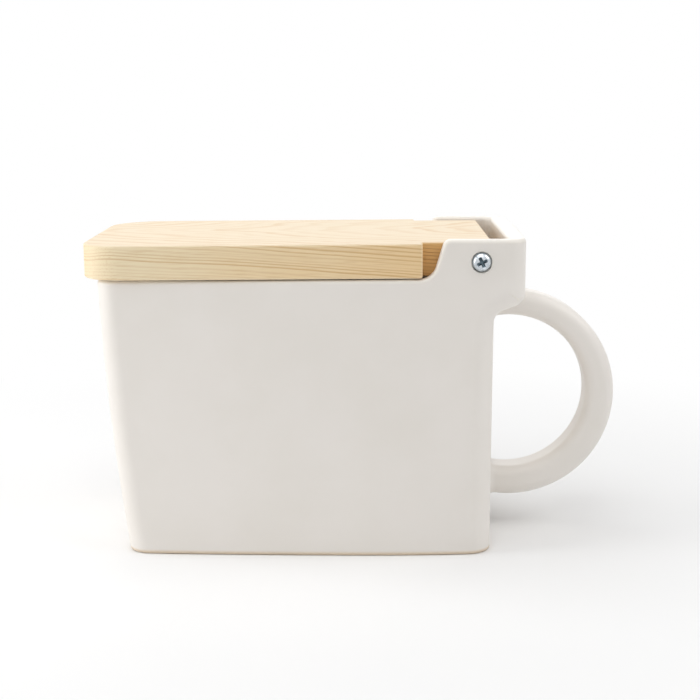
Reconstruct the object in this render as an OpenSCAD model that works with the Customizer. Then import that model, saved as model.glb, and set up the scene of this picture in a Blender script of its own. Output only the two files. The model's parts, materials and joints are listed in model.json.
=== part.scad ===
// Salt box: one slip-cast, glazed ceramic box with a mug handle, and a wooden lid that
// turns on two screws between two ears of the box.
// Millimetres. +Z is up, the front is at -X, the handle at +X, and the origin is the
// middle of the foot that the box stands on.

/* [Box] */
// Length of the base from front to back
base_l = 130.6; // [110:0.2:150]
// Width of the base
base_w = 87.6; // [74:0.2:100]
// Height of the rim at the hinge
rim_h = 99.6; // [85:0.2:120]
// How far the front wall has leaned out when it reaches the rim
front_lean = 9.3; // [4:0.1:16]
// How far the front wall bellies out half way up
front_belly = 1.4; // [0:0.1:2]
// How far each side wall has leaned out when it reaches the rim
side_lean = 0.8; // [0:0.1:4]
// How far each side curves in on its way to the front
side_bow = 2; // [0:0.1:4]
// How far each side curves in on its way to the back, at the base
foot_bow = 2.6; // [0:0.1:4]
// How far the rear wall curves in from its middle to the corners
rear_bow = 1; // [0:0.1:1.6]
// Radius of the upright corners
corner_r = 7.5; // [6:0.1:12]
// Thickness of the walls
wall = 5; // [4:0.1:6.5]
// Thickness of the floor
floor_t = 6; // [4.5:0.1:9]
// Radius of the edge round the base
base_edge_r = 1; // [0.6:0.1:2.5]
// Radius of the rounded corner between walls and floor inside
inner_edge_r = 7; // [4:0.1:10]
// Radius of the fired edges round the rim and the ears
lip_r = 1.5; // [0.6:0.1:1.8]
// Width of the unglazed foot ring
foot_w = 4.5; // [3:0.1:7]
// How far the underside is hollowed inside the foot ring
foot_rise = 1.2; // [0.6:0.1:2]

/* [Hinge housing] */
// How far the housing stands out behind the rear wall
housing_step = 10.8; // [8:0.1:14]
// How far below the rim the housing starts to stand out
housing_drop = 15.1; // [13.5:0.1:19]
// Rise of the underside of the housing, in degrees
housing_slope = 20; // [12:1:28]
// Radius under the housing, where it leaves the wall and at its lower edge
housing_r = 3.1; // [2:0.1:4]
// Thickness of the rear wall of the housing
housing_wall = 7; // [5:0.1:8]
// How far the ears rise above the rim
ear_rise = 13.7; // [12:0.1:17]
// Thickness of each ear at the hinge
ear_wall = 4.8; // [4:0.1:6]
// How far the front slope of the ears starts in front of the hinge, at the rim
ear_front = 16.9; // [14:0.1:20]
// Angle of the front slope of the ears, in degrees
ear_slope = 73; // [62:1:78]
// Radius at the foot of the front slope
ear_foot_r = 4; // [2.5:0.1:5]
// Radius at the top of the front slope
ear_brow_r = 2; // [1.2:0.1:3]

/* [Handle] */
// How far the handle reaches behind the rear wall
handle_reach = 47.7; // [44:0.1:56]
// Outer height of the round handle
handle_h = 78.6; // [76:0.2:82]
// Height of the middle of the handle
handle_mid = 51.4; // [48:0.1:52]
// Thickness of the handle half way down, along its radius
handle_t = 10.4; // [8:0.1:12.5]
// How much thicker the handle is at its lower end, and thinner at its upper end
handle_taper = 0.9; // [0:0.1:1.5]
// Width of the handle, across the box
handle_w = 15; // [10:0.1:18]
// Radius of the flare where the handle joins the wall
handle_flare = 3; // [1.5:0.1:4]
// How much the handle swells on its way to the wall
handle_root = 0.6; // [0:0.1:1.5]

/* [Lid] */
// Thickness of the lid board
lid_t = 12; // [10:0.1:15]
// Gap between the lid and the rim when it is shut
lid_gap = 0.4; // [0.3:0.05:0.8]
// Fall of the rim and the shut lid towards the front, in degrees
lid_fall = 0.47; // [0:0.01:1]
// How far the lid overhangs the front wall
front_overhang = 5.1; // [2:0.1:9]
// How far the lid overhangs each side wall, beside the hinge
side_overhang = 0; // [0:0.05:1.5]
// Radius of the front corners of the lid
lid_corner_r = 14.5; // [6:0.1:24]
// Radius of the eased edges of the lid
lid_edge_r = 0.7; // [0.3:0.1:1.5]
// Gap between the shoulders of the lid and the foot of the ears
shoulder_gap = 0.4; // [0.3:0.1:2]
// How far the tongue of the lid reaches behind the hinge
lid_tail = 4.2; // [3:0.1:4.6]

/* [Hinge] */
// Distance of the hinge from the rear face of the housing
pin_back = 16.6; // [15.5:0.1:19]
// Height of the hinge above the underside of the lid
pin_rise = 5.6; // [5:0.1:6.5]
// Diameter of the hinge screws
screw_d = 3.5; // [3:0.1:4]
// Length of a hinge screw under its head
screw_l = 20; // [16:0.5:26]
// Diameter of a screw head
head_d = 6.5; // [6:0.1:7.5]
// Height of a screw head
head_h = 2.3; // [1.8:0.1:3]
// Width of the blades of the cross recess
recess_w = 0.9; // [0.6:0.1:1.1]
// Length of the blades of the cross recess
recess_l = 3.8; // [3:0.1:4.2]
// Depth of the cross recess
recess_depth = 1.4; // [0.8:0.1:1.6]
// Turn of the cross recess, in degrees
recess_turn = 27; // [0:1:89]
// Depth of the flat seat under each screw head
head_seat = 0.4; // [0.2:0.1:0.8]
// Wall of the nylon bush in each ear
bush_wall = 0.8; // [0.5:0.1:1.2]
// Diameter of the flange of a bush
flange_d = 9; // [8:0.1:10]
// Thickness of the flange of a bush
flange_t = 0.5; // [0.4:0.1:1]
// Play between the lid and each bush flange
lid_play = 0.2; // [0.1:0.05:0.4]
// Clearance of a screw in its bush, all round
run_gap = 0.03; // [0.02:0.01:0.06]
// Clearance of pieces that sit fixed in each other, all round
seat_gap = 0.01; // [0.01:0.01:0.03]

/* [Hidden] */
ceramic = "#e6e2dc";
timber = "#e3c795";
steel = "#b9bdc2";
nylon = "#eeeeea";

// Facets of a quarter turn
corner_steps = 6;
lip_steps = 3;
side_steps = 5;

rear_x = base_l / 2;
housing_x = rear_x + housing_step;
pin_x = housing_x - pin_back;
lid_z = rim_h + lid_gap;
pin_z = lid_z + pin_rise;
ear_z = rim_h + ear_rise;
// The sides are widest here
bow_start = 0.15 * base_l;
under_z = rim_h - housing_drop;

// Half the width of the box at a height
function half_w(z) = base_w / 2 + side_lean * z / rim_h;
// How far the side has curved in at x and at a height
function bow(x, z) = x < bow_start
    ? side_bow * pow((bow_start - x) / (bow_start + rear_x), 2)
    : foot_bow * pow((x - bow_start) / (rear_x - bow_start), 2) * max(1 - z / under_z, 0);
// Front face at a height
function front_x(z) = -rear_x - front_lean * z / rim_h
    - 4 * front_belly * z / rim_h * (1 - z / rim_h);

// Half the room between the ears, and half the tongue that turns in it
pocket_half = half_w(pin_z) - ear_wall;
tongue_half = pocket_half - flange_t - lid_play;
seat_y = half_w(pin_z) - head_seat;

// ---- Height of the rim, which climbs over the ears ----

// The rim falls to the front with the lid
function rim_z(x) = rim_h - (pin_x - x) * tan(lid_fall);
slope_x = pin_x - ear_front;
foot_x0 = slope_x - ear_foot_r * tan(ear_slope / 2);
foot_x1 = foot_x0 + ear_foot_r * sin(ear_slope);
foot_z = rim_z(foot_x0);
brow_x1 = slope_x + (ear_z - foot_z) / tan(ear_slope) + ear_brow_r * tan(ear_slope / 2);
brow_x0 = brow_x1 - ear_brow_r * sin(ear_slope);

function foot_arc(x) = foot_z + ear_foot_r - sqrt(pow(ear_foot_r, 2) - pow(x - foot_x0, 2));
function brow_arc(x) = ear_z - ear_brow_r + sqrt(pow(ear_brow_r, 2) - pow(brow_x1 - x, 2));
function top_z(x) = x <= foot_x0 ? rim_z(x)
    : x <= foot_x1 ? foot_arc(x)
    : x < brow_x0 ? foot_z + (x - slope_x) * tan(ear_slope)
    : x < brow_x1 ? brow_arc(x)
    : ear_z;

// Stations along the side where the ear changes shape, from the back to the front
ear_stations = [
    for (i = [0:3]) brow_x1 - ear_brow_r * sin(ear_slope * i / 3),
    for (i = [3:-1:0]) foot_x0 + ear_foot_r * sin(ear_slope * i / 3)
];

// ---- Plan of the box: half a ring of [x, y] points, from the back round to the front ----

// Front and rear face, half width, front and rear corner radius, height, curve of the rear
function half_ring(xf, xr, w, rf, rr, z, curve) =
    let (wf = w - bow(xf + rf, z), wr = w - bow(xr - rr, z))
    [
        [xr, 0],
        [xr - curve * pow((wr - rr) / 2 / w, 2), (wr - rr) / 2],
        for (i = [0:corner_steps])
            let (y = wr - rr + rr * sin(90 * i / corner_steps))
            [xr - curve * pow(y / w, 2) - rr + rr * cos(90 * i / corner_steps), y],
        for (x = ear_stations) [x, w - bow(x, z)],
        for (i = [1:side_steps - 1])
            let (x = foot_x0 + (xf + rf - foot_x0) * i / side_steps) [x, w - bow(x, z)],
        for (i = [0:corner_steps])
            [xf + rf - rf * sin(90 * i / corner_steps), wf - rf + rf * cos(90 * i / corner_steps)],
        [xf, (wf - rf) / 2],
        [xf, 0]
    ];
half_count = 2 + 2 * (corner_steps + 1) + len(ear_stations) + side_steps - 1 + 2;

// A half ring with a height for each point, and the same mirrored to the other side
function whole_ring(half, heights) = [
    for (i = [0:half_count - 1]) [half[i].x, half[i].y, heights[i]],
    for (i = [half_count - 2:-1:1]) [half[i].x, -half[i].y, heights[i]]
];
function level_ring(half, z) = whole_ring(half, [for (p = half) z]);

// The outside at a height, drawn in by inset; xr is the rear face there
function outer_half(z, xr, inset) =
    let (r = max(corner_r - inset, 0.5))
    half_ring(front_x(z) + inset, xr - inset, half_w(z) - inset, r, r, z, rear_bow);

// ---- Rear face of the housing, as [x, z] points going up ----

under_turn = 90 - housing_slope;
step_run = housing_step - 2 * housing_r * (1 - cos(under_turn));
step_z = under_z + 2 * housing_r * sin(under_turn) + step_run * tan(housing_slope);
housing_path = [
    for (i = [0:3]) let (a = under_turn * i / 3)
        [rear_x + housing_r * (1 - cos(a)), under_z + housing_r * sin(a)],
    for (i = [3:-1:0]) let (a = under_turn * i / 3)
        [housing_x - housing_r * (1 - cos(a)), step_z - housing_r * sin(a)]
];
// The inside runs parallel to it, one wall further in
inner_r = housing_r + wall;
inner_top_x = housing_x - housing_wall;
inner_bend = [rear_x - wall + inner_r * (1 - cos(under_turn)), under_z + inner_r * sin(under_turn)];
inner_shelf_x = min(inner_top_x - 1, inner_bend.x + 2);
housing_inside = [
    [inner_top_x, inner_bend.y + (inner_top_x - inner_bend.x) * tan(housing_slope) + 1],
    [inner_shelf_x, inner_bend.y + (inner_shelf_x - inner_bend.x) * tan(housing_slope)],
    for (i = [3:-1:0]) let (a = under_turn * i / 3)
        [rear_x - wall + inner_r * (1 - cos(a)), under_z + inner_r * sin(a)]
];

// ---- The cast shell: one skin from the foot, up the outside, over the lip and down inside ----

// The inner rear face is flat, and its corners are tight between the ears and wider below
pocket_corner_r = 3;
cavity_corner_r = max(corner_r - wall, 4);
function cavity_half_w(z) = z > housing_inside[0].y ? pocket_half
    : base_w / 2 - wall + (pocket_half - base_w / 2 + wall) * z / housing_inside[0].y;
function inner_half(z, xr, inset) =
    let (r = z > under_z + inner_r * sin(under_turn) ? pocket_corner_r : cavity_corner_r)
    half_ring(front_x(z) + wall + inset, xr - inset, cavity_half_w(z) - inset,
        max(cavity_corner_r - inset, 0.5), max(r - inset, 0.5), z, 0);

function heights_under_top(half, drop) = [for (p = half) top_z(p.x) - drop];
outer_top = outer_half(rim_h, housing_x, 0);
inner_top = inner_half(rim_h, inner_top_x, 0);
// Points of the lip: the outer edge drawn in, or the inner edge let out, by one step
function towards(a, b, part) = [for (i = [0:len(a) - 1]) a[i] + (b[i] - a[i]) * part];
function lip_share(turn) = lip_r * (1 - cos(turn)) / wall;

wall_levels = [0.12, 0.35, 0.6, 0.82];
rings = concat(
    [level_ring(outer_half(0, rear_x, base_edge_r + foot_w + foot_rise), foot_rise)],
    [level_ring(outer_half(0, rear_x, base_edge_r + foot_w), 0)],
    [for (i = [0:3]) let (a = 30 * i)
        level_ring(outer_half(0, rear_x, base_edge_r * (1 - sin(a))), base_edge_r * (1 - cos(a)))],
    [for (part = wall_levels)
        level_ring(outer_half(part * under_z, rear_x, 0), part * under_z)],
    [for (p = housing_path) level_ring(outer_half(p.y, p.x, 0), p.y)],
    [for (i = [0:lip_steps]) let (a = 90 * i / lip_steps)
        whole_ring(towards(outer_top, inner_top, lip_share(a)),
            heights_under_top(outer_top, lip_r * (1 - sin(a))))],
    [for (i = [lip_steps:-1:0]) let (a = 90 * i / lip_steps)
        whole_ring(towards(inner_top, outer_top, lip_share(a)),
            heights_under_top(inner_top, lip_r * (1 - sin(a))))],
    [for (p = housing_inside) level_ring(inner_half(p.y, p.x, 0), p.y)],
    [for (i = [len(wall_levels) - 1:-1:1]) let (z = wall_levels[i] * under_z)
        level_ring(inner_half(z, rear_x - wall, 0), z)],
    [for (i = [0:3]) let (a = 30 * i, z = floor_t + inner_edge_r * (1 - sin(a)))
        level_ring(inner_half(z, rear_x - wall, inner_edge_r * (1 - cos(a))), z)]
);

// Two triangles for each step round and up, and a fan from a middle point over the first
// and the last ring
function skin_faces(n, levels) = [
    for (k = [0:levels - 2], i = [0:n - 1])
        let (j = (i + 1) % n)
        each [[k * n + i, (k + 1) * n + i, (k + 1) * n + j], [k * n + i, (k + 1) * n + j, k * n + j]],
    for (i = [0:n - 1])
        let (j = (i + 1) % n, last = (levels - 1) * n, middle = levels * n)
        each [[middle, i, j], [middle + 1, last + j, last + i]]
];
function flat_list(lists) = [for (l = lists) each l];
function middle_of(points) = [for (p = points) 1] * points / len(points);

// A closed skin through rings of points that all have the same count
module skin(hoops) {
    polyhedron(
        points = concat(flat_list(hoops), [middle_of(hoops[0]), middle_of(hoops[len(hoops) - 1])]),
        faces = skin_faces(len(hoops[0]), len(hoops))
    );
}

module cast_shell() { skin(rings); }

// ---- The handle: a squared-off oval carried round an arc and flared into the wall ----

handle_r = (handle_h - handle_t) / 2;
handle_x = rear_x + handle_reach - handle_h / 2;
// The arc ends inside the wall
handle_end = acos((rear_x - wall / 2 - handle_x) / handle_r);
handle_sides = 20;
squareness = 0.72;
flare_turn = handle_flare / handle_r * 180 / PI;
wall_turn = acos((rear_x - handle_x) / handle_r);
function flare(a) =
    let (d = handle_flare * min(max((wall_turn - abs(a)) / flare_turn, 0), 1))
    handle_flare - sqrt(pow(handle_flare, 2) - pow(handle_flare - d, 2));
// Half the thickness, which grows downwards and in the last quarter before the wall
function handle_half(a) = (handle_t - handle_taper * sin(a)) / 2
    + handle_root * pow(max(abs(a) - 75, 0) / (wall_turn - 75), 2);
function squared(c) = sign(c) * pow(abs(c), squareness);
function handle_ring(a) = [
    for (i = [0:handle_sides - 1])
        let (t = 360 * i / handle_sides,
            out = (handle_half(a) + flare(a)) * squared(cos(t)),
            across = (handle_w / 2 + flare(a)) * squared(sin(t)))
        [handle_x + (handle_r + out) * cos(a), across, handle_mid + (handle_r + out) * sin(a)]
];
end_steps = [1, 0.8, 0.6, 0.35, 0.15];
middle_steps = 18;
flare_start = wall_turn - flare_turn;
handle_angles = concat(
    [-handle_end],
    [for (s = end_steps) -flare_start - flare_turn * s],
    [for (i = [0:middle_steps]) flare_start * (2 * i / middle_steps - 1)],
    [for (i = [len(end_steps) - 1:-1:0]) flare_start + flare_turn * end_steps[i]],
    [handle_end]
);

module handle() { skin([for (a = handle_angles) handle_ring(a)]); }

// Anything that lies on the hinge line, given along +Y from the middle of the box
module on_hinge(side) {
    translate([pin_x, 0, pin_z]) mirror([0, side < 0 ? 1 : 0, 0]) rotate([-90, 0, 0]) children();
}

bush_d = screw_d + 2 * run_gap + 2 * bush_wall;
head_seat_d = head_d + 0.8;

module ceramic_body() {
    color(ceramic) difference() {
        union() {
            cast_shell();
            handle();
        }
        for (side = [-1, 1]) on_hinge(side) {
            translate([0, 0, pocket_half - wall]) cylinder(d = bush_d + 2 * seat_gap, h = 3 * wall, $fn = 48);
            translate([0, 0, seat_y]) cylinder(d = head_seat_d, h = wall, $fn = 64);
        }
    }
}

// ---- The lid: a board with a narrower tongue, its edges eased ----

lid_half = half_w(rim_h) + side_overhang;
lid_front = front_x(rim_h) - front_overhang;
shoulder_x = foot_x0 - shoulder_gap;
tongue_end = pin_x + lid_tail;
pilot_d = screw_d + 2 * seat_gap;
head_gap = 0.05;
screw_start = seat_y + head_gap;

module lid_plan() {
    difference() {
        translate([lid_front, -lid_half]) square([tongue_end - lid_front, 2 * lid_half]);
        for (side = [-1, 1]) {
            // Beside the tongue
            translate([shoulder_x, side < 0 ? -lid_half - 1 : tongue_half])
                square([tongue_end - shoulder_x + 1, lid_half - tongue_half + 1]);
            // Outside the rounded front corners
            difference() {
                translate([lid_front - 1, side < 0 ? -lid_half - 1 : lid_half - lid_corner_r])
                    square(lid_corner_r + 1);
                translate([lid_front + lid_corner_r, side * (lid_half - lid_corner_r)])
                    circle(r = lid_corner_r, $fn = 96);
            }
        }
    }
}

// A bar section with its four corners eased
module eased_section(across, up) {
    difference() {
        square([across, up]);
        for (x = [0, 1], y = [0, 1])
            translate([x * across, y * up]) mirror([x, 0]) mirror([0, y]) difference() {
                translate([-1, -1]) square(lid_edge_r + 1);
                translate([lid_edge_r, lid_edge_r]) circle(r = lid_edge_r, $fn = 24);
            }
    }
}

module lid() {
    color(timber) translate([pin_x, 0, pin_z]) rotate([0, -lid_fall, 0]) difference() {
        translate([-pin_x, 0, -pin_rise]) intersection() {
            linear_extrude(lid_t) lid_plan();
            translate([lid_front, lid_half, 0]) rotate([90, 0, 0])
                linear_extrude(2 * lid_half) eased_section(tongue_end - lid_front, lid_t);
            translate([lid_front, -lid_half, 0]) rotate([90, 0, 90])
                linear_extrude(tongue_end - lid_front) eased_section(2 * lid_half, lid_t);
        }
        for (side = [-1, 1]) mirror([0, side < 0 ? 1 : 0, 0]) rotate([-90, 0, 0])
            translate([0, 0, screw_start - screw_l - seat_gap])
                cylinder(d = pilot_d, h = screw_l, $fn = 48);
    }
}

// ---- The hinge: a pan-head screw and a flanged bush in each ear ----

point_l = 3;
point_d = 1;
head_flat_d = 3;
head_side = 0.8;

// Half section of the screw, from its point up to the top of the head
module screw_section() {
    dome_r = (head_d - head_flat_d) / 2;
    polygon([
        [0, -screw_l], [point_d / 2, -screw_l], [screw_d / 2, point_l - screw_l],
        [screw_d / 2, 0], [head_d / 2, 0], [head_d / 2, head_side],
        for (i = [1:4]) [head_flat_d / 2 + dome_r * cos(90 * i / 4),
            head_side + (head_h - head_side) * sin(90 * i / 4)],
        [0, head_h]
    ]);
}

module hinge_screw(side) {
    color(steel) on_hinge(side) translate([0, 0, screw_start]) difference() {
        rotate_extrude($fn = 64) screw_section();
        for (turn = [0, 90]) rotate(side * recess_turn + turn)
            translate([-recess_l / 2, -recess_w / 2, head_h - recess_depth])
                cube([recess_l, recess_w, head_h]);
    }
}

module hinge_bush(side) {
    color(nylon) on_hinge(side) difference() {
        union() {
            translate([0, 0, pocket_half - flange_t]) cylinder(d = flange_d, h = flange_t, $fn = 64);
            translate([0, 0, pocket_half - flange_t]) cylinder(d = bush_d, h = seat_y - pocket_half + flange_t, $fn = 48);
        }
        translate([0, 0, pocket_half - wall]) cylinder(d = screw_d + 2 * run_gap, h = 3 * wall, $fn = 48);
    }
}

module hinge_screw_left() { hinge_screw(1); }
module hinge_screw_right() { hinge_screw(-1); }
module hinge_bush_left() { hinge_bush(1); }
module hinge_bush_right() { hinge_bush(-1); }

ceramic_body();
lid();
hinge_screw_left();
hinge_screw_right();
hinge_bush_left();
hinge_bush_right();
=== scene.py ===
# %% [markdown]
# # A salt box of glazed clay, with a wooden lid
# The real box is cast in a plaster mould, gets its handle while the clay is soft, and is
# glazed and fired as one piece. Its lid is a short board that turns on two screws. The
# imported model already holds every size, place and joint, so this lesson only gives the
# pieces their fired, sawn and turned surfaces. It starts by loading that model as a frame.

# %% The frame and its sizes
import json
import math

import bpy
import numpy as np
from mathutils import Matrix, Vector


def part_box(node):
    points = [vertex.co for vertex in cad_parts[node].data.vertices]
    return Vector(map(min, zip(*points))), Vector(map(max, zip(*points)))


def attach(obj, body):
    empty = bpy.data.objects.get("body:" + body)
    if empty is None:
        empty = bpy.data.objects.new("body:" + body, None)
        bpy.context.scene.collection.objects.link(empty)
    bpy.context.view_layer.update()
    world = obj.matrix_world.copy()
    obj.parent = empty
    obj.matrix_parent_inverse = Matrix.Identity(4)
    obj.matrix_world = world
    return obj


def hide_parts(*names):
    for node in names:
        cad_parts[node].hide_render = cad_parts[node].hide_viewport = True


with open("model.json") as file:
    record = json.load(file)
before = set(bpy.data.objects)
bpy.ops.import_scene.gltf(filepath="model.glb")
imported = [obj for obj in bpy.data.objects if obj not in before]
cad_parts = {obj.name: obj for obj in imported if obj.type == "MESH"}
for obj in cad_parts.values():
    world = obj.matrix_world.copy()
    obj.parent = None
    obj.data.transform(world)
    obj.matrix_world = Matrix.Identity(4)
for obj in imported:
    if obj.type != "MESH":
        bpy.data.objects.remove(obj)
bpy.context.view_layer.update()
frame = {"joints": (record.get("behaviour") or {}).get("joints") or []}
MM = 0.001
scene = bpy.context.scene


def box_mm(node):
    """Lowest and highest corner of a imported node, in millimetres."""
    return np.array(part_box(node)) / MM


clay_low, clay_high = box_mm("ceramic_body")
lid_low = box_mm("lid")[0]
hinge = np.array(frame["joints"][0]["pos_m"]) / MM
PIN_X, PIN_Z = hinge[0], hinge[2]
print("clay from", clay_low.round(1), "to", clay_high.round(1), "and the hinge at", hinge)

# %% [markdown]
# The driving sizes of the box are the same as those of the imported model, in millimetres.
# What can be read from the frame, such as the height of the ears or the reach of the
# handle, is read from it, so that the two can't drift apart.

# %% Sizes of the box
BASE_L, BASE_W, RIM_H = 130.6, 87.6, 99.6
FRONT_LEAN, FRONT_BELLY, SIDE_LEAN = 9.3, 1.4, 0.8
SIDE_BOW, FOOT_BOW, REAR_BOW = 2.0, 2.6, 1.0
BOW_START = 0.15 * BASE_L
CORNER_R, HOLLOW_R, POCKET_R, WALL, FLOOR_T = 7.5, 4.0, 3.0, 5.0, 6.0
BASE_EDGE_R, FLOOR_EDGE_R, LIP_R = 1.0, 7.0, 1.5
FOOT_W, FOOT_RISE, FOOT_EDGE_R = 4.5, 1.2, 0.5
LID_FALL = math.radians(0.47)

HOUSING_STEP, HOUSING_DROP, HOUSING_R, HOUSING_WALL = 10.8, 15.1, 3.1, 7.0
HOUSING_SLOPE = math.radians(20)
EAR_WALL, EAR_FRONT, EAR_SLOPE = 4.8, 16.9, math.radians(73)
EAR_FOOT_R, EAR_BROW_R = 4.0, 2.0

HANDLE_OUT_R, HANDLE_OUT_Z = 39.2, 51.1
HANDLE_IN_R, HANDLE_IN_Z, HANDLE_IN_BACK = 29.0, 52.0, 0.6
HANDLE_W, HANDLE_OUT_EDGE, HANDLE_IN_EDGE, HANDLE_FLARE = 15.0, 4.2, 3.6, 4.0

SCREW_D, HEAD_D, HEAD_H, HEAD_SEAT, SEAT_PLAY = 3.5, 6.5, 2.3, 0.4, 0.25
BUSH_D, FLANGE_D, FLANGE_T = 5.16, 9.0, 0.5

rear_x = BASE_L / 2
housing_x = rear_x + HOUSING_STEP
under_z = RIM_H - HOUSING_DROP
ear_z = clay_high[2]
handle_x = clay_high[0] - HANDLE_OUT_R
print("housing at", housing_x, "ears up to", round(ear_z, 1), "handle round", round(handle_x, 1))

# %% [markdown]
# ## The clay as a distance field
# The lid, screws and bushes below are sections carried round. The clay box can't be: its
# handle grows out of a wall, its rear steps out and its rim climbs over the ears, with a
# soft fillet at each. So it alone is described by a field, a function that gives for any
# point in space its distance from the surface, negative inside. Two fields join with a
# fillet, or meet in a rounded edge, by one short formula each, where modifiers would need
# a boolean and a bevel at every such place.


# %% Joining and cutting fields
def cut_round(a, b, r):
    """What lies in both fields. Where their faces meet the edge is a quarter circle of radius r:
    the distance from a circle's centre that lies r inside both."""
    both = np.hypot(np.maximum(a + r, 0), np.maximum(b + r, 0))
    return np.minimum(np.maximum(a, b), -r) + both


def join_round(a, b, r):
    """What lies in either field, with a fillet of radius r in the inside corner."""
    both = np.hypot(np.maximum(r - a, 0), np.maximum(r - b, 0))
    return np.maximum(np.minimum(a, b), r) - both


print("a corner stands", round(float(cut_round(0, 0, 2)), 3), "mm outside its edge of radius 2")

# %% [markdown]
# A mesh is drawn on a field by laying a grid of points over it. Each little cell that the
# surface passes through gets one vertex, and cells side by side are joined by four-sided
# faces. Then each vertex slides along the steepest way until its distance is nought, so
# the mesh lies exactly on the surface whatever the grid. The grid lines are close where
# edges are small and far apart along plain walls, which keeps the mesh light.


# %% A skin on a field
def lines(*stops):
    """Grid lines from (from, to, spacing) triples, each stretch with its own even spacing."""
    parts = [np.linspace(a, b, max(int(round((b - a) / step)), 1), endpoint=False)
             for a, b, step in stops]
    return np.append(np.concatenate(parts), stops[-1][1])


def both_sides(positive):
    """The same lines mirrored to the negative side."""
    return np.concatenate([-positive[:0:-1], positive])


def slope(field, points, reach):
    """Gradient of a field at points: the difference over a small step each way along each axis."""
    steps = np.eye(3) * reach
    ahead = [field(*(points + s).T) - field(*(points - s).T) for s in steps]
    return np.stack(ahead, axis=1) / (2 * reach)


def skin(field, xs, ys, zs, slides=6, reach=0.01):
    """Vertices, quads and outward normals of the surface where the field is nought."""
    size = (len(xs), len(ys), len(zs))
    grid = np.meshgrid(xs, ys, zs, indexing="ij")
    inside = field(*grid) < 0
    corners = [inside[i:size[0] - 1 + i, j:size[1] - 1 + j, k:size[2] - 1 + k]
               for i in (0, 1) for j in (0, 1) for k in (0, 1)]
    count = np.sum(corners, axis=0, dtype=int)
    crossed = (count > 0) & (count < 8)
    number = np.full(crossed.shape, -1)
    number[crossed] = np.arange(crossed.sum())
    at = np.argwhere(crossed)
    middle = [(axis[:-1] + axis[1:]) / 2 for axis in (xs, ys, zs)]
    points = np.stack([middle[k][at[:, k]] for k in range(3)], axis=1)

    quads = []
    for axis in range(3):
        side, up = (axis + 1) % 3, (axis + 2) % 3
        low = [slice(1, -1)] * 3
        low[axis] = slice(0, -1)
        high = list(low)
        high[axis] = slice(1, None)
        leaving = inside[tuple(low)] & ~inside[tuple(high)]
        entering = ~inside[tuple(low)] & inside[tuple(high)]
        for change, order in ((leaving, (0, 1, 2, 3)), (entering, (3, 2, 1, 0))):
            where = np.argwhere(change)
            where[:, side] += 1
            where[:, up] += 1
            ring = []
            for step_side, step_up in ((-1, -1), (0, -1), (0, 0), (-1, 0)):
                cell = where.copy()
                cell[:, side] += step_side
                cell[:, up] += step_up
                ring.append(number[tuple(cell.T)])
            quads.append(np.stack([ring[k] for k in order], axis=1))

    for _ in range(slides):
        steepest = slope(field, points, reach)
        length = np.maximum((steepest ** 2).sum(axis=1), 1e-9)
        points = points - steepest * (field(*points.T) / length)[:, None]
    normals = slope(field, points, reach)
    normals /= np.linalg.norm(normals, axis=1)[:, None]
    return points, np.concatenate(quads), normals


def bend_of(field, points, reach):
    """How strongly the surface bends at points, per millimetre: above nought on an edge,
    below in a corner. It is six times the field's mean round a point less its value there,
    over the step squared."""
    around = [field(*(points + s).T) + field(*(points - s).T) for s in np.eye(3) * reach]
    return (sum(around) - 6 * field(*points.T)) / reach ** 2


CREASE = math.radians(40)


def make_piece(name, points, quads, normals=None, caps=(), **values):
    """A mesh object from millimetre points, four-sided faces and end faces, with a number
    per vertex for each value. Without normals of its own it is smooth, except where it
    turns by more than CREASE."""
    mesh = bpy.data.meshes.new(name)
    mesh.from_pydata((points * MM).tolist(), [], quads.tolist() + list(caps))
    mesh.validate()
    mesh.shade_smooth()
    if normals is None:
        mesh.set_sharp_from_angle(angle=CREASE)
    else:
        mesh.normals_split_custom_set_from_vertices(normals.tolist())
    for key, value in values.items():
        layer = mesh.attributes.new(key, "FLOAT", "POINT")
        layer.data.foreach_set("value", value.astype(np.float32))
    piece = bpy.data.objects.new(name, mesh)
    scene.collection.objects.link(piece)
    print(name, "has", len(points), "vertices and", len(mesh.polygons), "faces")
    return piece


# %% [markdown]
# ## The clay box
# The box is a tapered trough. Its front leans out and bellies a little, its sides curve in
# towards the front and at the foot towards the back, and its rear wall steps out into a
# housing for the hinge. The step is drawn once as a side view: the wall and the housing
# join with a fillet, and the housing's lower edge is rounded.


# %% The outside of the box
def half_width(z):
    return BASE_W / 2 + SIDE_LEAN * z / RIM_H


def side_curve(x, z):
    """How far the side has curved in: none at BOW_START, then growing as the square of the way,
    and behind it fading with height until there is none under the housing."""
    ahead = np.maximum(BOW_START - x, 0) / (BOW_START + rear_x)
    behind = np.maximum(x - BOW_START, 0) / (rear_x - BOW_START)
    return SIDE_BOW * ahead ** 2 + FOOT_BOW * behind ** 2 * np.clip(1 - z / under_z, 0, 1)


def rear_curve(y):
    """How far the rear wall has curved in, growing as the square of the way from its middle."""
    return REAR_BOW * (2 * y / BASE_W) ** 2


def before_front(x, z):
    """Distance in front of the front face, which leans out evenly and bellies most halfway up."""
    part = z / RIM_H
    face = -rear_x - FRONT_LEAN * part - 4 * FRONT_BELLY * part * (1 - part)
    return (face - x) * math.cos(math.atan(FRONT_LEAN / RIM_H))


under_turn = math.pi / 2 - HOUSING_SLOPE
slope_x0 = rear_x + HOUSING_R * (1 - math.cos(under_turn))
slope_z0 = under_z + HOUSING_R * math.sin(under_turn)


def under_side(x, z, lift):
    """Distance below the sloping underside of the housing, or a plane lift above it."""
    upright = (slope_z0 + lift - z) * math.cos(HOUSING_SLOPE)
    return upright + (x - slope_x0) * math.sin(HOUSING_SLOPE)


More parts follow.
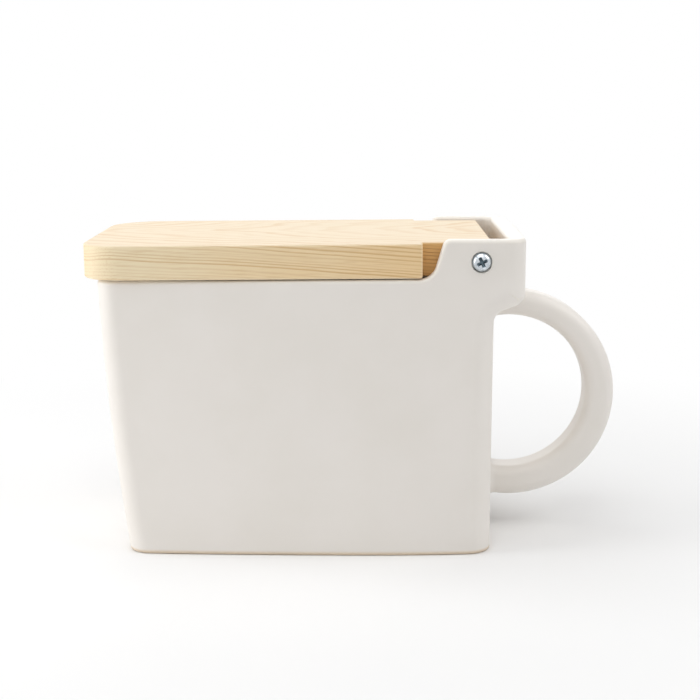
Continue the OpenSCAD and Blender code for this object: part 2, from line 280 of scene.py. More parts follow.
def outside(x, y, z):
    """Front, sides and stepped rear, with upright corners of CORNER_R."""
    back = x + rear_curve(y)
    housing = cut_round(back - housing_x, under_side(back, z, 0), HOUSING_R)
    rear = join_round(back - rear_x, housing, HOUSING_R)
    side = np.abs(y) - half_width(z) + side_curve(x, z)
    return cut_round(cut_round(rear, side, CORNER_R), before_front(x, z), CORNER_R)


print("the housing's underside starts", round(slope_z0, 1), "mm up")


# %% [markdown]
# The hollow runs parallel to the outside, one wall further in, and between the ears it
# has flat cheeks for the lid to turn between. The rim is one line seen from the side: it
# falls a little to the front, with the lid, and climbs in an S over the ears.

# %% The hollow and the rim
POCKET_Z, POCKET_BLEND, SHELF_R = RIM_H - 5.0, 12.0, 2.0
pocket_half = half_width(PIN_Z) - EAR_WALL
pocket_x = housing_x - HOUSING_WALL
slope_start = PIN_X - EAR_FRONT
foot_start = slope_start - EAR_FOOT_R * math.tan(EAR_SLOPE / 2)
foot_z = RIM_H - (PIN_X - foot_start) * math.tan(LID_FALL)


def hollow(x, y, z):
    """The room inside: sides that part evenly upwards, a front that follows the outside, a
    pocket that steps back behind the hinge, and a rounded floor."""
    shelf = cut_round(x - pocket_x, under_side(x, z, WALL / math.cos(HOUSING_SLOPE)), SHELF_R)
    rear = join_round(x - rear_x + WALL, shelf, HOUSING_R + WALL)
    taper = np.clip(z / POCKET_Z, 0, 1)
    half = BASE_W / 2 - WALL + (pocket_half - BASE_W / 2 + WALL) * taper
    side = np.abs(y) - half + side_curve(x, z)
    corner = POCKET_R + (HOLLOW_R - POCKET_R) * np.clip((POCKET_Z - z) / POCKET_BLEND, 0, 1)
    room = cut_round(rear, side, corner)
    room = cut_round(room, before_front(x, z) + WALL, HOLLOW_R)
    return cut_round(room, FLOOR_T - z, FLOOR_EDGE_R)


def above_rim(x, z):
    """Distance above the rim and the ears, seen from the side."""
    rim = (z - RIM_H + (PIN_X - x) * math.tan(LID_FALL)) * math.cos(LID_FALL)
    rise = (slope_start - x) * math.sin(EAR_SLOPE) + (z - foot_z) * math.cos(EAR_SLOPE)
    ear = cut_round(rise, z - ear_z, EAR_BROW_R)
    return join_round(rim, ear, EAR_FOOT_R)


print("room between the ears:", round(2 * pocket_half, 2), "mm")

# %% [markdown]
# The handle is a ring that sinks into the wall, so only its outer part is left outside. Its
# inner circle sits a little above its outer one, which makes it thinner at the top. Its
# section has flat sides and wide soft edges, as a sponge leaves them. Where it meets the
# wall a fillet makes the flared root that a potter smooths with a wet finger. Under the
# box a shallow hollow leaves a foot ring, and each ear gets the bore of its bush and the
# shallow seat of its screw.


# %% The whole fired piece
def handle(x, y, z):
    """What lies between an outer and an inner circle and two upright planes."""
    outer = np.hypot(x - handle_x, z - HANDLE_OUT_Z) - HANDLE_OUT_R
    inner = HANDLE_IN_R - np.hypot(x - handle_x + HANDLE_IN_BACK, z - HANDLE_IN_Z)
    side = np.abs(y) - HANDLE_W / 2
    return cut_round(cut_round(side, outer, HANDLE_OUT_EDGE), inner, HANDLE_IN_EDGE)


BORE_PLAY, SEAT_EDGE_R, GROOVE_IN, GROOVE_DEEP, HOLE_EDGE_R = 0.01, 0.1, 0.15, 0.55, 0.15
seat_y = half_width(PIN_Z) - HEAD_SEAT


def screw_holes(x, y, z):
    """The bore of each bush, the round seat that the screw's head sits in, and a narrow groove
    round it, whose shade is the dark ring that the photograph shows round the head."""
    around = np.hypot(x - PIN_X, z - PIN_Z)
    below = seat_y - np.abs(y)
    bore = around - BUSH_D / 2 - BORE_PLAY
    seat = cut_round(around - HEAD_D / 2 - SEAT_PLAY, below, SEAT_EDGE_R)
    ring = np.abs(around - HEAD_D / 2 + GROOVE_IN) - SEAT_PLAY - GROOVE_IN
    groove = np.maximum(ring, below - GROOVE_DEEP)
    return np.minimum(bore, np.minimum(seat, groove))


def clay(x, y, z):
    """The fired box: outside and handle, less the hollow, the holes and the hollow foot."""
    shell = outside(x, y, z)
    foot = cut_round(shell + BASE_EDGE_R + FOOT_W, z - FOOT_RISE, FOOT_EDGE_R)
    body = join_round(shell, handle(x, y, z), HANDLE_FLARE)
    body = cut_round(body, above_rim(x, z), LIP_R)
    body = cut_round(body, -z, BASE_EDGE_R)
    body = cut_round(body, -hollow(x, y, z), LIP_R)
    body = cut_round(body, -foot, FOOT_EDGE_R)
    return cut_round(body, -screw_holes(x, y, z), HOLE_EDGE_R)


clay_x = lines((-77.5, -69, 0.5), (-69, -56, 0.9), (-56, 35, 3.2), (35, 38, 1.0), (38, 51, 0.5),
               (51, 55, 0.8), (55, 64, 0.45), (64, 77.5, 0.5), (77.5, 114.4, 0.95))
clay_y = both_sides(lines((0, 10, 0.8), (10, 30, 2.5), (30, 36, 1.1), (36, 46, 0.45)))
clay_z = lines((-0.8, 3.2, 0.4), (3.2, 15, 1.0), (15, 84, 1.5), (84, 97, 0.7), (97, 101, 0.45),
               (101, 110, 0.45), (110, 114.5, 0.4))
clay_points, clay_quads, clay_normals = skin(clay, clay_x, clay_y, clay_z)

BEND_REACH, BARE_TOP, BARE_FADE = 0.4, 1.6, 0.6
clay_bend = bend_of(clay, clay_points, BEND_REACH)
on_foot = np.clip((BARE_TOP - clay_points[:, 2]) / BARE_FADE, 0, 1)
ceramic_box = make_piece("ceramic_box", clay_points, clay_quads, clay_normals,
                         bend=clay_bend, bare_clay=on_foot)
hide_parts("ceramic_body")
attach(ceramic_box, "box")

# %% [markdown]
# ## The wooden lid
# The lid is one board of pale softwood. It is sawn with a tongue at the back that fits
# between the ears, its front corners are cut round, and all its edges are eased with
# sandpaper. A cube with a bevel would round every corner alike, so the board's edge
# section is carried round its outline instead: the top, the eased edge, the straight
# side, the other eased edge and the underside.


# %% Outlines and rings
def rounded_outline(corners, radii, arc_steps):
    """Points and outward directions along a polygon, anticlockwise, whose corners are arcs:
    each arc's centre lies r off both sides, and its points stand r from it."""
    corners = np.array(corners, float)
    points, outward = [], []
    previous, following = np.roll(corners, 1, 0), np.roll(corners, -1, 0)
    for before, here, after, r, steps in zip(previous, corners, following, radii, arc_steps):
        arrive, leave = here - before, after - here
        arrive, leave = arrive / np.hypot(*arrive), leave / np.hypot(*leave)
        turn = math.atan2(arrive[0] * leave[1] - arrive[1] * leave[0], arrive @ leave)
        start = math.atan2(arrive[1], arrive[0]) - math.pi / 2
        angles = start + turn * np.linspace(0, 1, steps)
        bulge = math.copysign(1, turn)
        out = np.stack([np.cos(angles), np.sin(angles)], axis=1)
        centre = here - arrive * r * abs(math.tan(turn / 2)) - bulge * r * out[0]
        points.append(centre + bulge * r * out)
        outward.append(out)
    return np.concatenate(points), np.concatenate(outward)


def ring_quads(rings, around, closed=False):
    """Faces between neighbouring rings of points, rings running from the outer end inwards."""
    upper = np.arange(rings if closed else rings - 1)[:, None] * around
    lower = (upper + around) % (rings * around)
    here = np.arange(around)
    there = (here + 1) % around
    quads = np.stack([upper + here, lower + here, lower + there, upper + there], axis=-1)
    return quads.reshape(-1, 4)


def end_caps(rings, around):
    """One face over the first ring and one, the other way round, under the last."""
    return [list(range(around)), list(range(rings * around - 1, (rings - 1) * around - 1, -1))]


def tip_about_hinge(points, angle):
    """Turn points about the hinge so that the front goes down by an angle."""
    out = points.copy()
    dx, dz = points[..., 0] - PIN_X, points[..., 2] - PIN_Z
    out[..., 0] = PIN_X + dx * math.cos(angle) - dz * math.sin(angle)
    out[..., 2] = PIN_Z + dz * math.cos(angle) + dx * math.sin(angle)
    return out


print("a square of 3 rings has", len(ring_quads(3, 4)), "faces and", len(end_caps(3, 4)), "caps")

# %% [markdown]
# The lid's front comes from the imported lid. Its far front corner is rounder than the near
# one, as in the photograph. Its flat faces are rings of the same outline drawn together
# to the middle, so all faces have four sides but for a small one in each middle.

# %% The lid
LID_T, LID_EDGE_R, LID_UNDER, LID_HALF = 12.0, 0.7, 100.0, 44.6
TONGUE_HALF, SHOULDER_X, TONGUE_END = 39.14, 39.24, 63.7
NEAR_CORNER_R, FAR_CORNER_R, SHOULDER_R, NOTCH_R, TONGUE_R = 14.5, 19.0, 0.8, 0.3, 1.2
LID_MIDDLE, SHEET_SHARES = (-8.0, 0.0), (0.04, 0.3, 0.55, 0.75, 0.9, 0.97)
lid_front = lid_low[0] + (LID_UNDER + LID_T - PIN_Z) * math.sin(LID_FALL)

# Each corner with its radius and the number of points on its arc
lid_plan = [((lid_front, -LID_HALF), NEAR_CORNER_R, 33), ((SHOULDER_X, -LID_HALF), SHOULDER_R, 7),
            ((SHOULDER_X, -TONGUE_HALF), NOTCH_R, 4), ((TONGUE_END, -TONGUE_HALF), TONGUE_R, 7),
            ((TONGUE_END, TONGUE_HALF), TONGUE_R, 7), ((SHOULDER_X, TONGUE_HALF), NOTCH_R, 4),
            ((SHOULDER_X, LID_HALF), SHOULDER_R, 7), ((lid_front, LID_HALF), FAR_CORNER_R, 33)]
lid_outline, lid_outward = rounded_outline(*zip(*lid_plan))
print("lid outline of", len(lid_outline), "points")


def lid_rings():
    """Rings from the middle of the top over the edge to the middle of the underside. On the
    edges a ring stands back by r (1 - cos a) and down by r (1 - sin a)."""
    middle = np.array(LID_MIDDLE)
    sheet = [(share, LID_EDGE_R, LID_T, math.pi / 2) for share in SHEET_SHARES]
    edge = [(1, LID_EDGE_R * (1 - math.cos(a)), LID_T - LID_EDGE_R * (1 - math.sin(a)), a)
            for a in np.linspace(math.pi / 2, 0, 7)]
    top = sheet + edge
    under = [(share, back, LID_T - height, -a) for share, back, height, a in reversed(top)]
    points, normals = [], []
    for share, back, height, angle in top + under:
        plan = middle + share * (lid_outline - lid_outward * back - middle)
        points.append(np.column_stack([plan, np.full(len(plan), LID_UNDER + height)]))
        across, up = lid_outward * math.cos(angle), np.full(len(plan), math.sin(angle))
        normals.append(np.column_stack([across, up]))
    return np.array(points), np.array(normals)


board_points, board_normals = lid_rings()
ring_count, around_count = board_points.shape[:2]
end_grain = np.abs(board_normals[..., 0].ravel()) ** 3
flat_face = board_normals[..., 2].ravel() ** 2
# The sides of the tongue beside the ears, which get a painted shade for the shadow in the gap
past_shoulder = board_points[..., 0] > SHOULDER_X + 0.25
beside_tongue = np.abs(board_points[..., 1]) > TONGUE_HALF - 0.4
sawn = np.abs(board_normals[..., 1].ravel()) * (past_shoulder & beside_tongue).ravel()
# The factor makes the painted edge highlight 1 where an eased edge stands at 45 degrees
edge_polish = (1 - np.abs(board_normals).max(axis=-1)).ravel() * 3.4
lid_points = tip_about_hinge(board_points, LID_FALL).reshape(-1, 3)
lid_normals = tip_about_hinge(board_normals + hinge, LID_FALL).reshape(-1, 3) - hinge
wooden_lid = make_piece("wooden_lid", lid_points, ring_quads(ring_count, around_count),
                        lid_normals, end_caps(ring_count, around_count), end_grain=end_grain,
                        flat_face=flat_face, sawn=sawn, edge_polish=edge_polish)
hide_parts("lid")
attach(wooden_lid, "lid")

# %% [markdown]
# ## The hinge screws
# Each screw is a zinc-plated pan head with a cross recess. On a lathe it would be one
# profile turned round its axis, but the recess and the thread aren't round. So each ring
# has its own radius for every direction: a cross at the recess, circles at the head, and
# at the thread a radius that winds as it goes down.


# %% A screw
def cross_edge(angles, length, width):
    """Distance from the middle to the edge of a cross of two bars: along each bar the nearer
    of its end and its side, and of the two bars the further."""
    c, s = np.abs(np.cos(angles)), np.abs(np.sin(angles))
    bar_a = np.minimum(length / np.maximum(c, 1e-6), width / np.maximum(s, 1e-6))
    bar_b = np.minimum(length / np.maximum(s, 1e-6), width / np.maximum(c, 1e-6))
    return np.maximum(bar_a, bar_b)


DOME_R, DOME_FOOT, DOME_POWER = HEAD_D / 2 - 0.15, 0.7, 2.6


def head_dome(radius):
    """Height of the pan head: upright at its rim, then flattening to the middle."""
    share = np.clip(radius / DOME_R, 0, 1)
    return DOME_FOOT + (HEAD_H - DOME_FOOT) * np.sqrt(1 - share ** DOME_POWER)


RECESS_L, RECESS_W, RECESS_DEPTH = 2.05, 0.56, 1.4
SCREW_L, SHANK_L, PITCH, THREAD_DEPTH, THREAD_RINGS = 20.0, 5.0, 1.2, 0.45, 112
tip_angle = math.atan2(RECESS_W, RECESS_L)
stops = (0, tip_angle, math.pi / 4, math.pi / 2 - tip_angle, math.pi / 2)
quarter = np.concatenate([np.linspace(a, b, count, endpoint=False)
                          for a, b, count in zip(stops, stops[1:], (4, 9, 9, 4))])
screw_angles = np.concatenate([quarter + k * math.pi / 2 for k in range(4)])


def screw_rings(angles):
    """Radius and height of each ring, from the recess's floor over the head to the tip. The
    thread is a ridge where height / PITCH + turn is halfway between two whole numbers."""
    floor, head_r, shank_r = HEAD_H - RECESS_DEPTH, HEAD_D / 2, SCREW_D / 2
    rings = []
    for length, width, height in ((0.85, 0.28, floor), (1.5, 0.4, floor + 0.35),
                                  (RECESS_L - 0.07, RECESS_W - 0.05, HEAD_H - 0.36)):
        rings.append((cross_edge(angles, length, width), np.full(angles.shape, height)))
    edge = cross_edge(angles, RECESS_L, RECESS_W)
    for share in np.sin(np.linspace(0, math.pi / 2, 14)):
        radius = edge + (DOME_R - edge) * share
        rings.append((radius, head_dome(radius)))
    flat = np.ones(angles.shape)
    for radius, height in ((DOME_R, 0.36), (head_r - 0.03, 0.33), (head_r, 0.12),
                           (head_r - 0.05, 0.03), (head_r - 0.12, 0.0), (shank_r, 0.0),
                           (shank_r, -SHANK_L)):
        rings.append((flat * radius, flat * height))
    for height in np.linspace(-SHANK_L - 0.2, -SCREW_L, THREAD_RINGS):
        past, left = -SHANK_L - height, SCREW_L + height
        wind = np.mod(height / PITCH + angles / (2 * math.pi), 1)
        ridge = np.maximum(1 - np.abs(wind - 0.5) * 5, 0)
        fade = min(past / 2.5, 1) * min(left / 3 + 0.12, 1)
        core = (shank_r - THREAD_DEPTH) * min(left / 2.5 + 0.1, 1)
        core = core + (shank_r - core) * max(1 - past, 0)
        rings.append((core + ridge * THREAD_DEPTH * fade, flat * height))
    return np.array(rings)


def turn_on_hinge(radius, height, angles, side, seat):
    """Place rings round the hinge line: height counts outwards from the seat on the given side."""
    return np.stack([PIN_X + radius * np.cos(angles), side * (seat + height),
                     PIN_Z - side * radius * np.sin(angles)], axis=-1).reshape(-1, 3)


for label, side, turn in (("right", -1, 25), ("left", 1, 71)):
    node_name = "hinge_screw_" + label
    low, high = box_mm(node_name)
    seat = np.abs([low[1], high[1]]).max() - HEAD_H
    rings = screw_rings(screw_angles)
    shape = turn_on_hinge(rings[:, 0], rings[:, 1], screw_angles + math.radians(turn), side, seat)
    # How far each ring lies below the dome, which sets the painted shade in the recess
    recess_shade_share = np.clip((head_dome(rings[:, 0]) - rings[:, 1]) / 0.5, 0, 1) * (rings[:, 1] > 0.2)
    screw = make_piece("zinc_screw_" + label, shape, ring_quads(*rings[:, 0].shape), None,
                       end_caps(*rings[:, 0].shape), recess=recess_shade_share.ravel())
    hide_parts(node_name)
    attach(screw, "lid")

# %% [markdown]
# ## The bushes
# The photograph doesn't show them. A fired hole is rough, so each screw is taken to turn in
# a nylon sleeve, whose flange keeps the wood off the glaze. It is the simplest turned
# piece: one closed section carried round.

# %% The bushes
BUSH_STEPS, RUN_GAP, SLEEVE_EASE, FLANGE_EASE = 64, 0.03, 0.15, 0.12
for label, side in (("right", -1), ("left", 1)):
    node_name = "hinge_bush_" + label
    low, high = box_mm(node_name)
    inner, outer = np.sort(np.abs([low[1], high[1]]))
    bore, sleeve, flange = SCREW_D / 2 + RUN_GAP, BUSH_D / 2, FLANGE_D / 2
    step, s, f = inner + FLANGE_T, SLEEVE_EASE, FLANGE_EASE
    section = np.array([
        (bore + s, outer), (sleeve - s, outer), (sleeve, outer - s), (sleeve, step + f),
        (sleeve + f, step), (flange - f, step), (flange, step - f), (flange, inner + f),
        (flange - f, inner), (bore + s, inner), (bore, inner + s), (bore, outer - s)])
    radius, height = np.repeat(section.T[:, :, None], BUSH_STEPS, axis=2)
    angles = np.linspace(0, 2 * math.pi, BUSH_STEPS, endpoint=False)
    shape = turn_on_hinge(radius, height, angles, side, 0.0)
    quads = ring_quads(len(section), BUSH_STEPS, closed=True)
    bush = make_piece("nylon_bush_" + label, shape, quads)
    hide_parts(node_name)
    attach(bush, "box")

# %% [markdown]
# ## Finishes
# Materials are graphs of small nodes. A few helpers keep them short to write: one adds a
# node and joins its inputs, others do arithmetic, blend colours or add noise. Colours are
# written as they look on a screen, from 0 to 255, and made linear for the renderer.


# %% Writing node graphs
def tint(r, g, b):
    """A screen colour as linear light: ((c + 0.055) / 1.055) to the power 2.4 for each channel."""
    screen = np.array([r, g, b]) / 255
    linear = np.where(screen > 0.04045, ((screen + 0.055) / 1.055) ** 2.4, screen / 12.92)
    return (*linear.tolist(), 1.0)


def node(tree, kind, inputs=None, out=0, **settings):
    """Add a node, set or link its inputs by name or number, and return one of its outputs."""
    made = tree.nodes.new("ShaderNode" + kind)
    for key, value in settings.items():
        setattr(made, key, value)
    for key, value in (inputs or {}).items():
        if isinstance(value, bpy.types.NodeSocket):
            tree.links.new(value, made.inputs[key])
        else:
            made.inputs[key].default_value = value
    return made.outputs[out]


def calc(tree, operation, *values):
    return node(tree, "Math", dict(enumerate(values)), operation=operation)


def times(tree, first, second):
    return calc(tree, "MULTIPLY", first, second)


def vector(tree, operation, *values, out=0):
    return node(tree, "VectorMath", dict(enumerate(values)), out, operation=operation)


def blend(tree, amount, first, second):
    """Colour between two others; amount 0 gives the first and 1 the second."""
    return node(tree, "Mix", {0: amount, 6: first, 7: second}, 2, data_type="RGBA")


def ramp(tree, value, start, stop, low=0.0, high=1.0):
    """A smooth step from low to high while the value goes from start to stop."""
    return node(tree, "MapRange", {0: value, 1: start, 2: stop, 3: low, 4: high},
                interpolation_type="SMOOTHSTEP")


def noise(tree, where, scale, detail, stretch=None):
    """Soft random values of about 0.2 to 0.8; scale counts blobs per millimetre."""
    if stretch:
        where = vector(tree, "MULTIPLY", where, stretch)
    return node(tree, "TexNoise", {"Vector": where, "Scale": scale, "Detail": detail})


def attribute(tree, name):
    return node(tree, "Attribute", out=2, attribute_name=name)


def new_group(name, inputs, outputs):
    """A node group with named sockets. Returns its tree, its input node and its output node."""
    group = bpy.data.node_groups.new(name, "ShaderNodeTree")
    for way, sockets in (("INPUT", inputs), ("OUTPUT", outputs)):
        for socket_name, kind in sockets.items():
            group.interface.new_socket(socket_name, in_out=way, socket_type="NodeSocket" + kind)
    return group, group.nodes.new("NodeGroupInput"), group.nodes.new("NodeGroupOutput")


def use_group(tree, group, **inputs):
    made = tree.nodes.new("ShaderNodeGroup")
    made.node_tree = group
    for key, value in inputs.items():
        if isinstance(value, bpy.types.NodeSocket):
            tree.links.new(value, made.inputs[key])
        else:
            made.inputs[key].default_value = value
    return made


def new_finish(name, *pieces):
    """A material on some pieces. Returns its tree, its Principled node and the object's
    coordinates in millimetres."""
    finish = bpy.data.materials.new(name)
    finish.use_nodes = True
    for piece in pieces:
        piece.data.materials.append(finish)
    tree = finish.node_tree
    where = vector(tree, "MULTIPLY", node(tree, "TexCoord", out=3), (1000, 1000, 1000))
    return tree, tree.nodes["Principled BSDF"], where


def bump(tree, surface, height):
    """Raise the surface by a height in millimetres."""
    raised = node(tree, "Bump", {"Height": height, "Distance": MM, "Strength": 1.0})
    tree.links.new(raised, surface.inputs["Normal"])


print("white on a screen is", tint(255, 255, 255)[:3], "as light")

# %% [markdown]
# Nothing made by hand or in a mould is even. One shared group gives every finish the same
# two things: a mottle, for patches of tone and gloss, and a ripple, for the surface.

# %% The shared unevenness
uneven, u_in, u_out = new_group("unevenness",
                                {"Where": "Vector", "Patch": "Float", "Ripple": "Float"},
                                {"Mottle": "Float", "Height": "Float"})
patches = noise(uneven, u_in.outputs["Where"], u_in.outputs["Patch"], 3.0)
ripples = noise(uneven, u_in.outputs["Where"], u_in.outputs["Ripple"], 1.0)
uneven.links.new(ramp(uneven, patches, 0.3, 0.7), u_out.inputs["Mottle"])
uneven.links.new(ripples, u_out.inputs["Height"])
print("shared group:", uneven.name)

# %% [markdown]
# ### Glaze
# The glaze is a thin coat of cream white glass. Surface tension pulls it off the edges,
# where the warm clay shows faintly through, and into the corners, where it is thicker
# and whiter. The bend of the surface, worked out with the skin, says which is which. The
# foot shows bare, matt and buff in the photograph, as clay that is wiped before firing.
# Height alone says where, so the hollow under the box, which the photograph doesn't show,
# comes out about two thirds bare as well.

# %% Glaze
tree, surface, where = new_finish("cream_glaze", ceramic_box)
feel = use_group(tree, uneven, Where=where, Patch=0.035, Ripple=0.11)
edge = ramp(tree, attribute(tree, "bend"), 0.25, 1.1)
corner = ramp(tree, attribute(tree, "bend"), -0.1, -0.6)
bare = attribute(tree, "bare_clay")
colour = blend(tree, feel.outputs["Mottle"], tint(238, 233, 226), tint(241, 236, 230))
colour = blend(tree, times(tree, edge, 0.55), colour, tint(240, 234, 222))
colour = blend(tree, times(tree, corner, 0.6), colour, tint(240, 239, 235))
clay_grit = noise(tree, where, 3.0, 4.0)
bare_colour = blend(tree, clay_grit, tint(222, 204, 181), tint(238, 223, 203))
colour = blend(tree, bare, colour, bare_colour)
tree.links.new(colour, surface.inputs["Base Color"])
gloss = ramp(tree, feel.outputs["Mottle"], 0, 1, 0.34, 0.42)
tree.links.new(calc(tree, "MAXIMUM", gloss, times(tree, bare, 0.85)), surface.inputs["Roughness"])
relief = calc(tree, "ADD", times(tree, feel.outputs["Height"], 0.12),
              times(tree, times(tree, clay_grit, bare), 0.25))
bump(tree, surface, relief)

# %% [markdown]
# ### Wood
# The grain has to run through the board, from the top over the edges to the end, so it is
# a solid pattern: growth rings about the middle of the trunk, which lies well above the
# board and slopes to it. Where the rings meet the top they draw long arches, on the sides
# near-parallel lines, and at the end flat arcs. Each ring goes from pale early wood to a
# thin line of darker late wood.

# %% Growth rings
wood, w_in, w_out = new_group("growth_rings", {"Where": "Vector", "Spacing": "Float"},
                              {"Late": "Float", "Year": "Float", "Fibre": "Float"})
PITH_AT, PITH_WAY = (0.0, 9.0, 290.0), (0.9975, 0.004, -0.0700)
SWAY_MM, SHAKE_MM, PACE_RINGS = 5.0, 0.8, 1.4
place = w_in.outputs["Where"]
offset = vector(wood, "SUBTRACT", place, PITH_AT)
along = vector(wood, "DOT_PRODUCT", offset, PITH_WAY, out=1)
foot = node(wood, "VectorMath", {0: PITH_WAY, 3: along}, operation="SCALE")
radius = vector(wood, "LENGTH", vector(wood, "SUBTRACT", offset, foot), out=1)
sway = noise(wood, place, 1.0, 1.0, (0.011, 0.035, 0.035))
shake = noise(wood, place, 1.0, 2.0, (0.035, 0.16, 0.16))
radius = calc(wood, "ADD", radius, times(wood, sway, SWAY_MM))
radius = calc(wood, "ADD", radius, times(wood, shake, SHAKE_MM))
rings_out = calc(wood, "DIVIDE", radius, w_in.outputs["Spacing"])
pace = node(wood, "TexNoise", {"W": rings_out, "Scale": 0.23, "Detail": 1.0},
            noise_dimensions="1D")
rings_out = calc(wood, "ADD", rings_out, times(wood, pace, PACE_RINGS))
share = calc(wood, "FRACT", rings_out)
rise, fall = ramp(wood, share, 0.42, 0.84), ramp(wood, share, 0.86, 1.0, 1.0, 0.0)
year = node(wood, "TexWhiteNoise", {"W": calc(wood, "FLOOR", rings_out)},
            noise_dimensions="1D")
fibre = noise(wood, place, 1.0, 3.0, (0.10, 3.2, 3.2))
for name, value in {"Late": times(wood, rise, fall), "Year": year, "Fibre": fibre}.items():
    wood.links.new(value, w_out.inputs[name])
print("growth rings of", len(wood.nodes), "nodes")

# %% [markdown]
# On the lid the rings tint a ground colour. The board is paler at its front end, its flat
# faces are paler than its edges, partly as sanded wood and partly as a painted sheen of the
# light on the top, and the end drinks more light. The sides of the tongue get a painted
# shade, dark brown, for the shadow in the gap beside the ears. The eased edges get a
# painted highlight.

# %% The lid's wood
tree, surface, where = new_finish("pale_softwood", wooden_lid)
rings_node = use_group(tree, wood, Where=where, Spacing=1.25)
feel = use_group(tree, uneven, Where=where, Patch=0.022, Ripple=0.08)
along_board = node(tree, "SeparateXYZ", {0: where})
uneven_way = calc(tree, "ADD", along_board, times(tree, feel.outputs["Mottle"], 25.0))
rear = ramp(tree, uneven_way, -75.0, 75.0)
# The flat faces are paler and their rings fainter, partly as sanded wood and partly as a painted
# sheen of the light on the top
flat_sheen = attribute(tree, "flat_face")
strength = times(tree, ramp(tree, rear, 0, 1, 0.62, 0.80), ramp(tree, flat_sheen, 0, 1, 1.0, 0.6))
late = times(tree, rings_node.outputs["Late"],
             ramp(tree, rings_node.outputs["Year"], 0, 1, 0.3, 1.0))
fibre = rings_node.outputs["Fibre"]
colour = blend(tree, rear, tint(244, 228, 194), tint(241, 210, 162))
colour = blend(tree, flat_sheen, colour, tint(241, 226, 202))
colour = blend(tree, times(tree, late, strength), colour, tint(209, 168, 112))
colour = blend(tree, ramp(tree, fibre, 0.5, 0.72, 0.0, 0.4), colour, tint(216, 181, 131))
end = attribute(tree, "end_grain")
colour = blend(tree, times(tree, end, 0.2), colour, tint(222, 184, 128))
# Painted shade on the tongue's sides: a dark brown for the shadow between ear and shoulder, darker
# along the late rings
tongue_shade_colour = blend(tree, times(tree, late, 0.6), tint(220, 174, 110), tint(150, 98, 46))
colour = blend(tree, times(tree, attribute(tree, "sawn"), 0.9), colour, tongue_shade_colour)
# A painted highlight on the eased edges, lighter where an edge turns most
polish = times(tree, attribute(tree, "edge_polish"), 0.35)
colour = blend(tree, polish, colour, tint(250, 234, 205))
tree.links.new(colour, surface.inputs["Base Color"])
surface.inputs["Specular IOR Level"].default_value = 0.3
dull = ramp(tree, late, 0, 1, 0.72, 0.62)
tree.links.new(calc(tree, "ADD", dull, times(tree, end, 0.12)), surface.inputs["Roughness"])
relief = calc(tree, "ADD", times(tree, late, 0.05), times(tree, fibre, 0.06))
bump(tree, surface, relief)

# %% [markdown]
# ### Zinc and nylon
# Bright zinc has a cool tone and a fine unevenness from the bath. In the recess it gets a
# painted shade, darker, and is made duller. The nylon is milky and smooth.

# %% Zinc and nylon
screws = [bpy.data.objects["zinc_screw_right"], bpy.data.objects["zinc_screw_left"]]
tree, surface, where = new_finish("bright_zinc", *screws)
feel = use_group(tree, uneven, Where=where, Patch=0.9, Ripple=1.6)
recess = attribute(tree, "recess")
colour = blend(tree, feel.outputs["Mottle"], tint(188, 196, 202), tint(208, 214, 219))
# Painted shade in the cross recess
colour = blend(tree, recess, colour, tint(92, 108, 116))
tree.links.new(colour, surface.inputs["Base Color"])
surface.inputs["Metallic"].default_value = 1.0
gloss = ramp(tree, feel.outputs["Mottle"], 0, 1, 0.2, 0.3)
tree.links.new(calc(tree, "ADD", gloss, times(tree, recess, 0.2)), surface.inputs["Roughness"])
bump(tree, surface, times(tree, feel.outputs["Height"], 0.02))

bushes = [bpy.data.objects["nylon_bush_right"], bpy.data.objects["nylon_bush_left"]]
tree, surface, where = new_finish("milky_nylon", *bushes)
feel = use_group(tree, uneven, Where=where, Patch=0.4, Ripple=0.7)
colour = blend(tree, feel.outputs["Mottle"], tint(226, 223, 212), tint(234, 231, 222))
tree.links.new(colour, surface.inputs["Base Color"])
tree.links.new(ramp(tree, feel.outputs["Mottle"], 0, 1, 0.35, 0.45), surface.inputs["Roughness"])
surface.inputs["Subsurface Weight"].default_value = 0.15
surface.inputs["Subsurface Radius"].default_value = (0.002, 0.002, 0.0018)
bump(tree, surface, times(tree, feel.outputs["Height"], 0.02))
print("finishes:", [m.name for m in bpy.data.materials])

# %% [markdown]
# ## Studio
# The box stands on a wide white table. The table keeps its shadow near the box and fades
# to plain white further away, but only for the camera and in reflections, so the light
# that it throws back on the box stays that of a real table.

# %% Table
TABLE_HALF, TABLE_DROP, FADE_FROM, FADE_TO = 3.0, 0.00002, 90.0, 330.0


def plain_rays(tree):
    """1 for the rays of the camera, of mirrors and of glass, 0 for those that light the box."""
    rays = tree.nodes.new("ShaderNodeLightPath").outputs
    bent = calc(tree, "MAXIMUM", rays["Is Glossy Ray"], rays["Is Transmission Ray"])
    return calc(tree, "MAXIMUM", rays["Is Camera Ray"], bent)


floor_mesh = bpy.data.meshes.new("white_table")
signs = ((-1, -1), (1, -1), (1, 1), (-1, 1))
floor_mesh.from_pydata([(x * TABLE_HALF, y * TABLE_HALF, 0) for x, y in signs], [],
                       [(0, 1, 2, 3)])
table = bpy.data.objects.new("white_table", floor_mesh)
table.location = (0, 0, -TABLE_DROP)
scene.collection.objects.link(table)
tree, surface, where = new_finish("white_table_top", table)
surface.inputs["Base Color"].default_value = tint(246, 246, 246)
surface.inputs["Roughness"].default_value = 0.8
surface.inputs["Specular IOR Level"].default_value = 0.1
away = vector(tree, "LENGTH", vector(tree, "SUBTRACT", where, (18.0, 0.0, 0.0)), out=1)
fade = times(tree, plain_rays(tree), ramp(tree, away, FADE_FROM, FADE_TO))
glow = node(tree, "Emission", {"Color": (1, 1, 1, 1), "Strength": 1.0})
mixed = node(tree, "MixShader", {0: fade, 1: surface.outputs[0], 2: glow})
tree.links.new(mixed, tree.nodes["Material Output"].inputs["Surface"])
print("the table is whole up to", FADE_FROM, "mm and plain white from", FADE_TO, "mm")

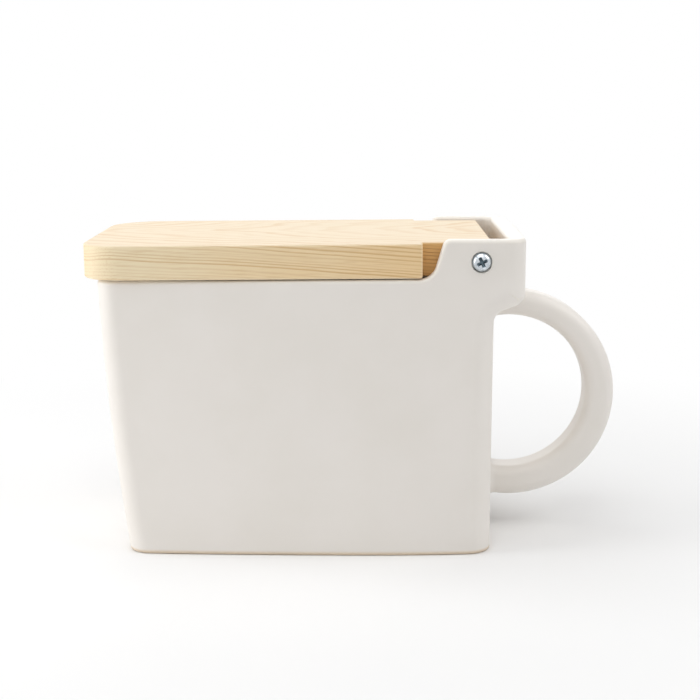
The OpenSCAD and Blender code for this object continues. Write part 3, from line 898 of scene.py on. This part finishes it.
# %% [markdown]
# The surroundings are plain white in the same way, and light the box more gently. Five
# soft lights do the rest. One hangs overhead, one high in front and one high at the right,
# a small one stands close at the left, whose light falls off along the box, and one
# behind lights the far edges.

# %% World and lights
AMBIENT, LIGHT_TARGET = 0.30, (0.0, 0.0, 0.05)
world = bpy.data.worlds.new("studio")
world.use_nodes = True
scene.world = world
tree = world.node_tree
backdrop = tree.nodes["Background"]
tree.links.new(ramp(tree, plain_rays(tree), 0, 1, AMBIENT, 1.0), backdrop.inputs["Strength"])
backdrop.inputs["Color"].default_value = (1, 1, 1, 1)


def soft_light(name, place, size, power):
    """A square area light that faces LIGHT_TARGET."""
    data = bpy.data.lights.new(name, "AREA")
    data.shape, data.size, data.energy = "SQUARE", size, power
    lamp = bpy.data.objects.new(name, data)
    away = np.array(place) - np.array(LIGHT_TARGET)
    flat = math.hypot(away[0], away[1])
    lamp.location = place
    lamp.rotation_euler = (math.atan2(flat, away[2]), 0, math.atan2(away[0], -away[1]))
    scene.collection.objects.link(lamp)
    print(name, "at", place, "with", power, "W")


soft_light("overhead", (-0.15, 0.05, 1.1), 0.9, 4.15)
soft_light("left", (-0.6, -0.05, 0.25), 0.5, 2.1)
soft_light("right", (0.9, -0.2, 0.85), 0.8, 4.25)
soft_light("front_top", (-0.12, -0.75, 0.95), 0.7, 2.05)
soft_light("back", (0.0, 1.2, 0.7), 1.0, 2.3)

# %% [markdown]
# ## Camera
# The camera stands where the photographer stood: a little above the lid, looking down by
# about ten degrees. Its place and its lens were worked out from the box's straight edges.

# %% Camera
FOCAL_PIXELS, FRAME_PIXELS = 1480, 700
CAMERA_AT = np.array([18.5, -549.7, 168.9])
CAMERA_DOWN, CAMERA_TURN = 0.184, -0.0084
camera_data = bpy.data.cameras.new("studio_camera")
camera_data.sensor_width = 36
camera_data.lens = camera_data.sensor_width * FOCAL_PIXELS / FRAME_PIXELS
camera_data.clip_start, camera_data.clip_end = 0.01, 20
camera = bpy.data.objects.new("studio_camera", camera_data)
camera.location = CAMERA_AT * MM
camera.rotation_euler = (math.pi / 2 - CAMERA_DOWN, 0, -CAMERA_TURN)
scene.collection.objects.link(camera)
scene.camera = camera
scene.view_settings.view_transform = "Standard"
print("the lens is", round(camera_data.lens, 1), "mm on a", camera_data.sensor_width, "mm sensor")
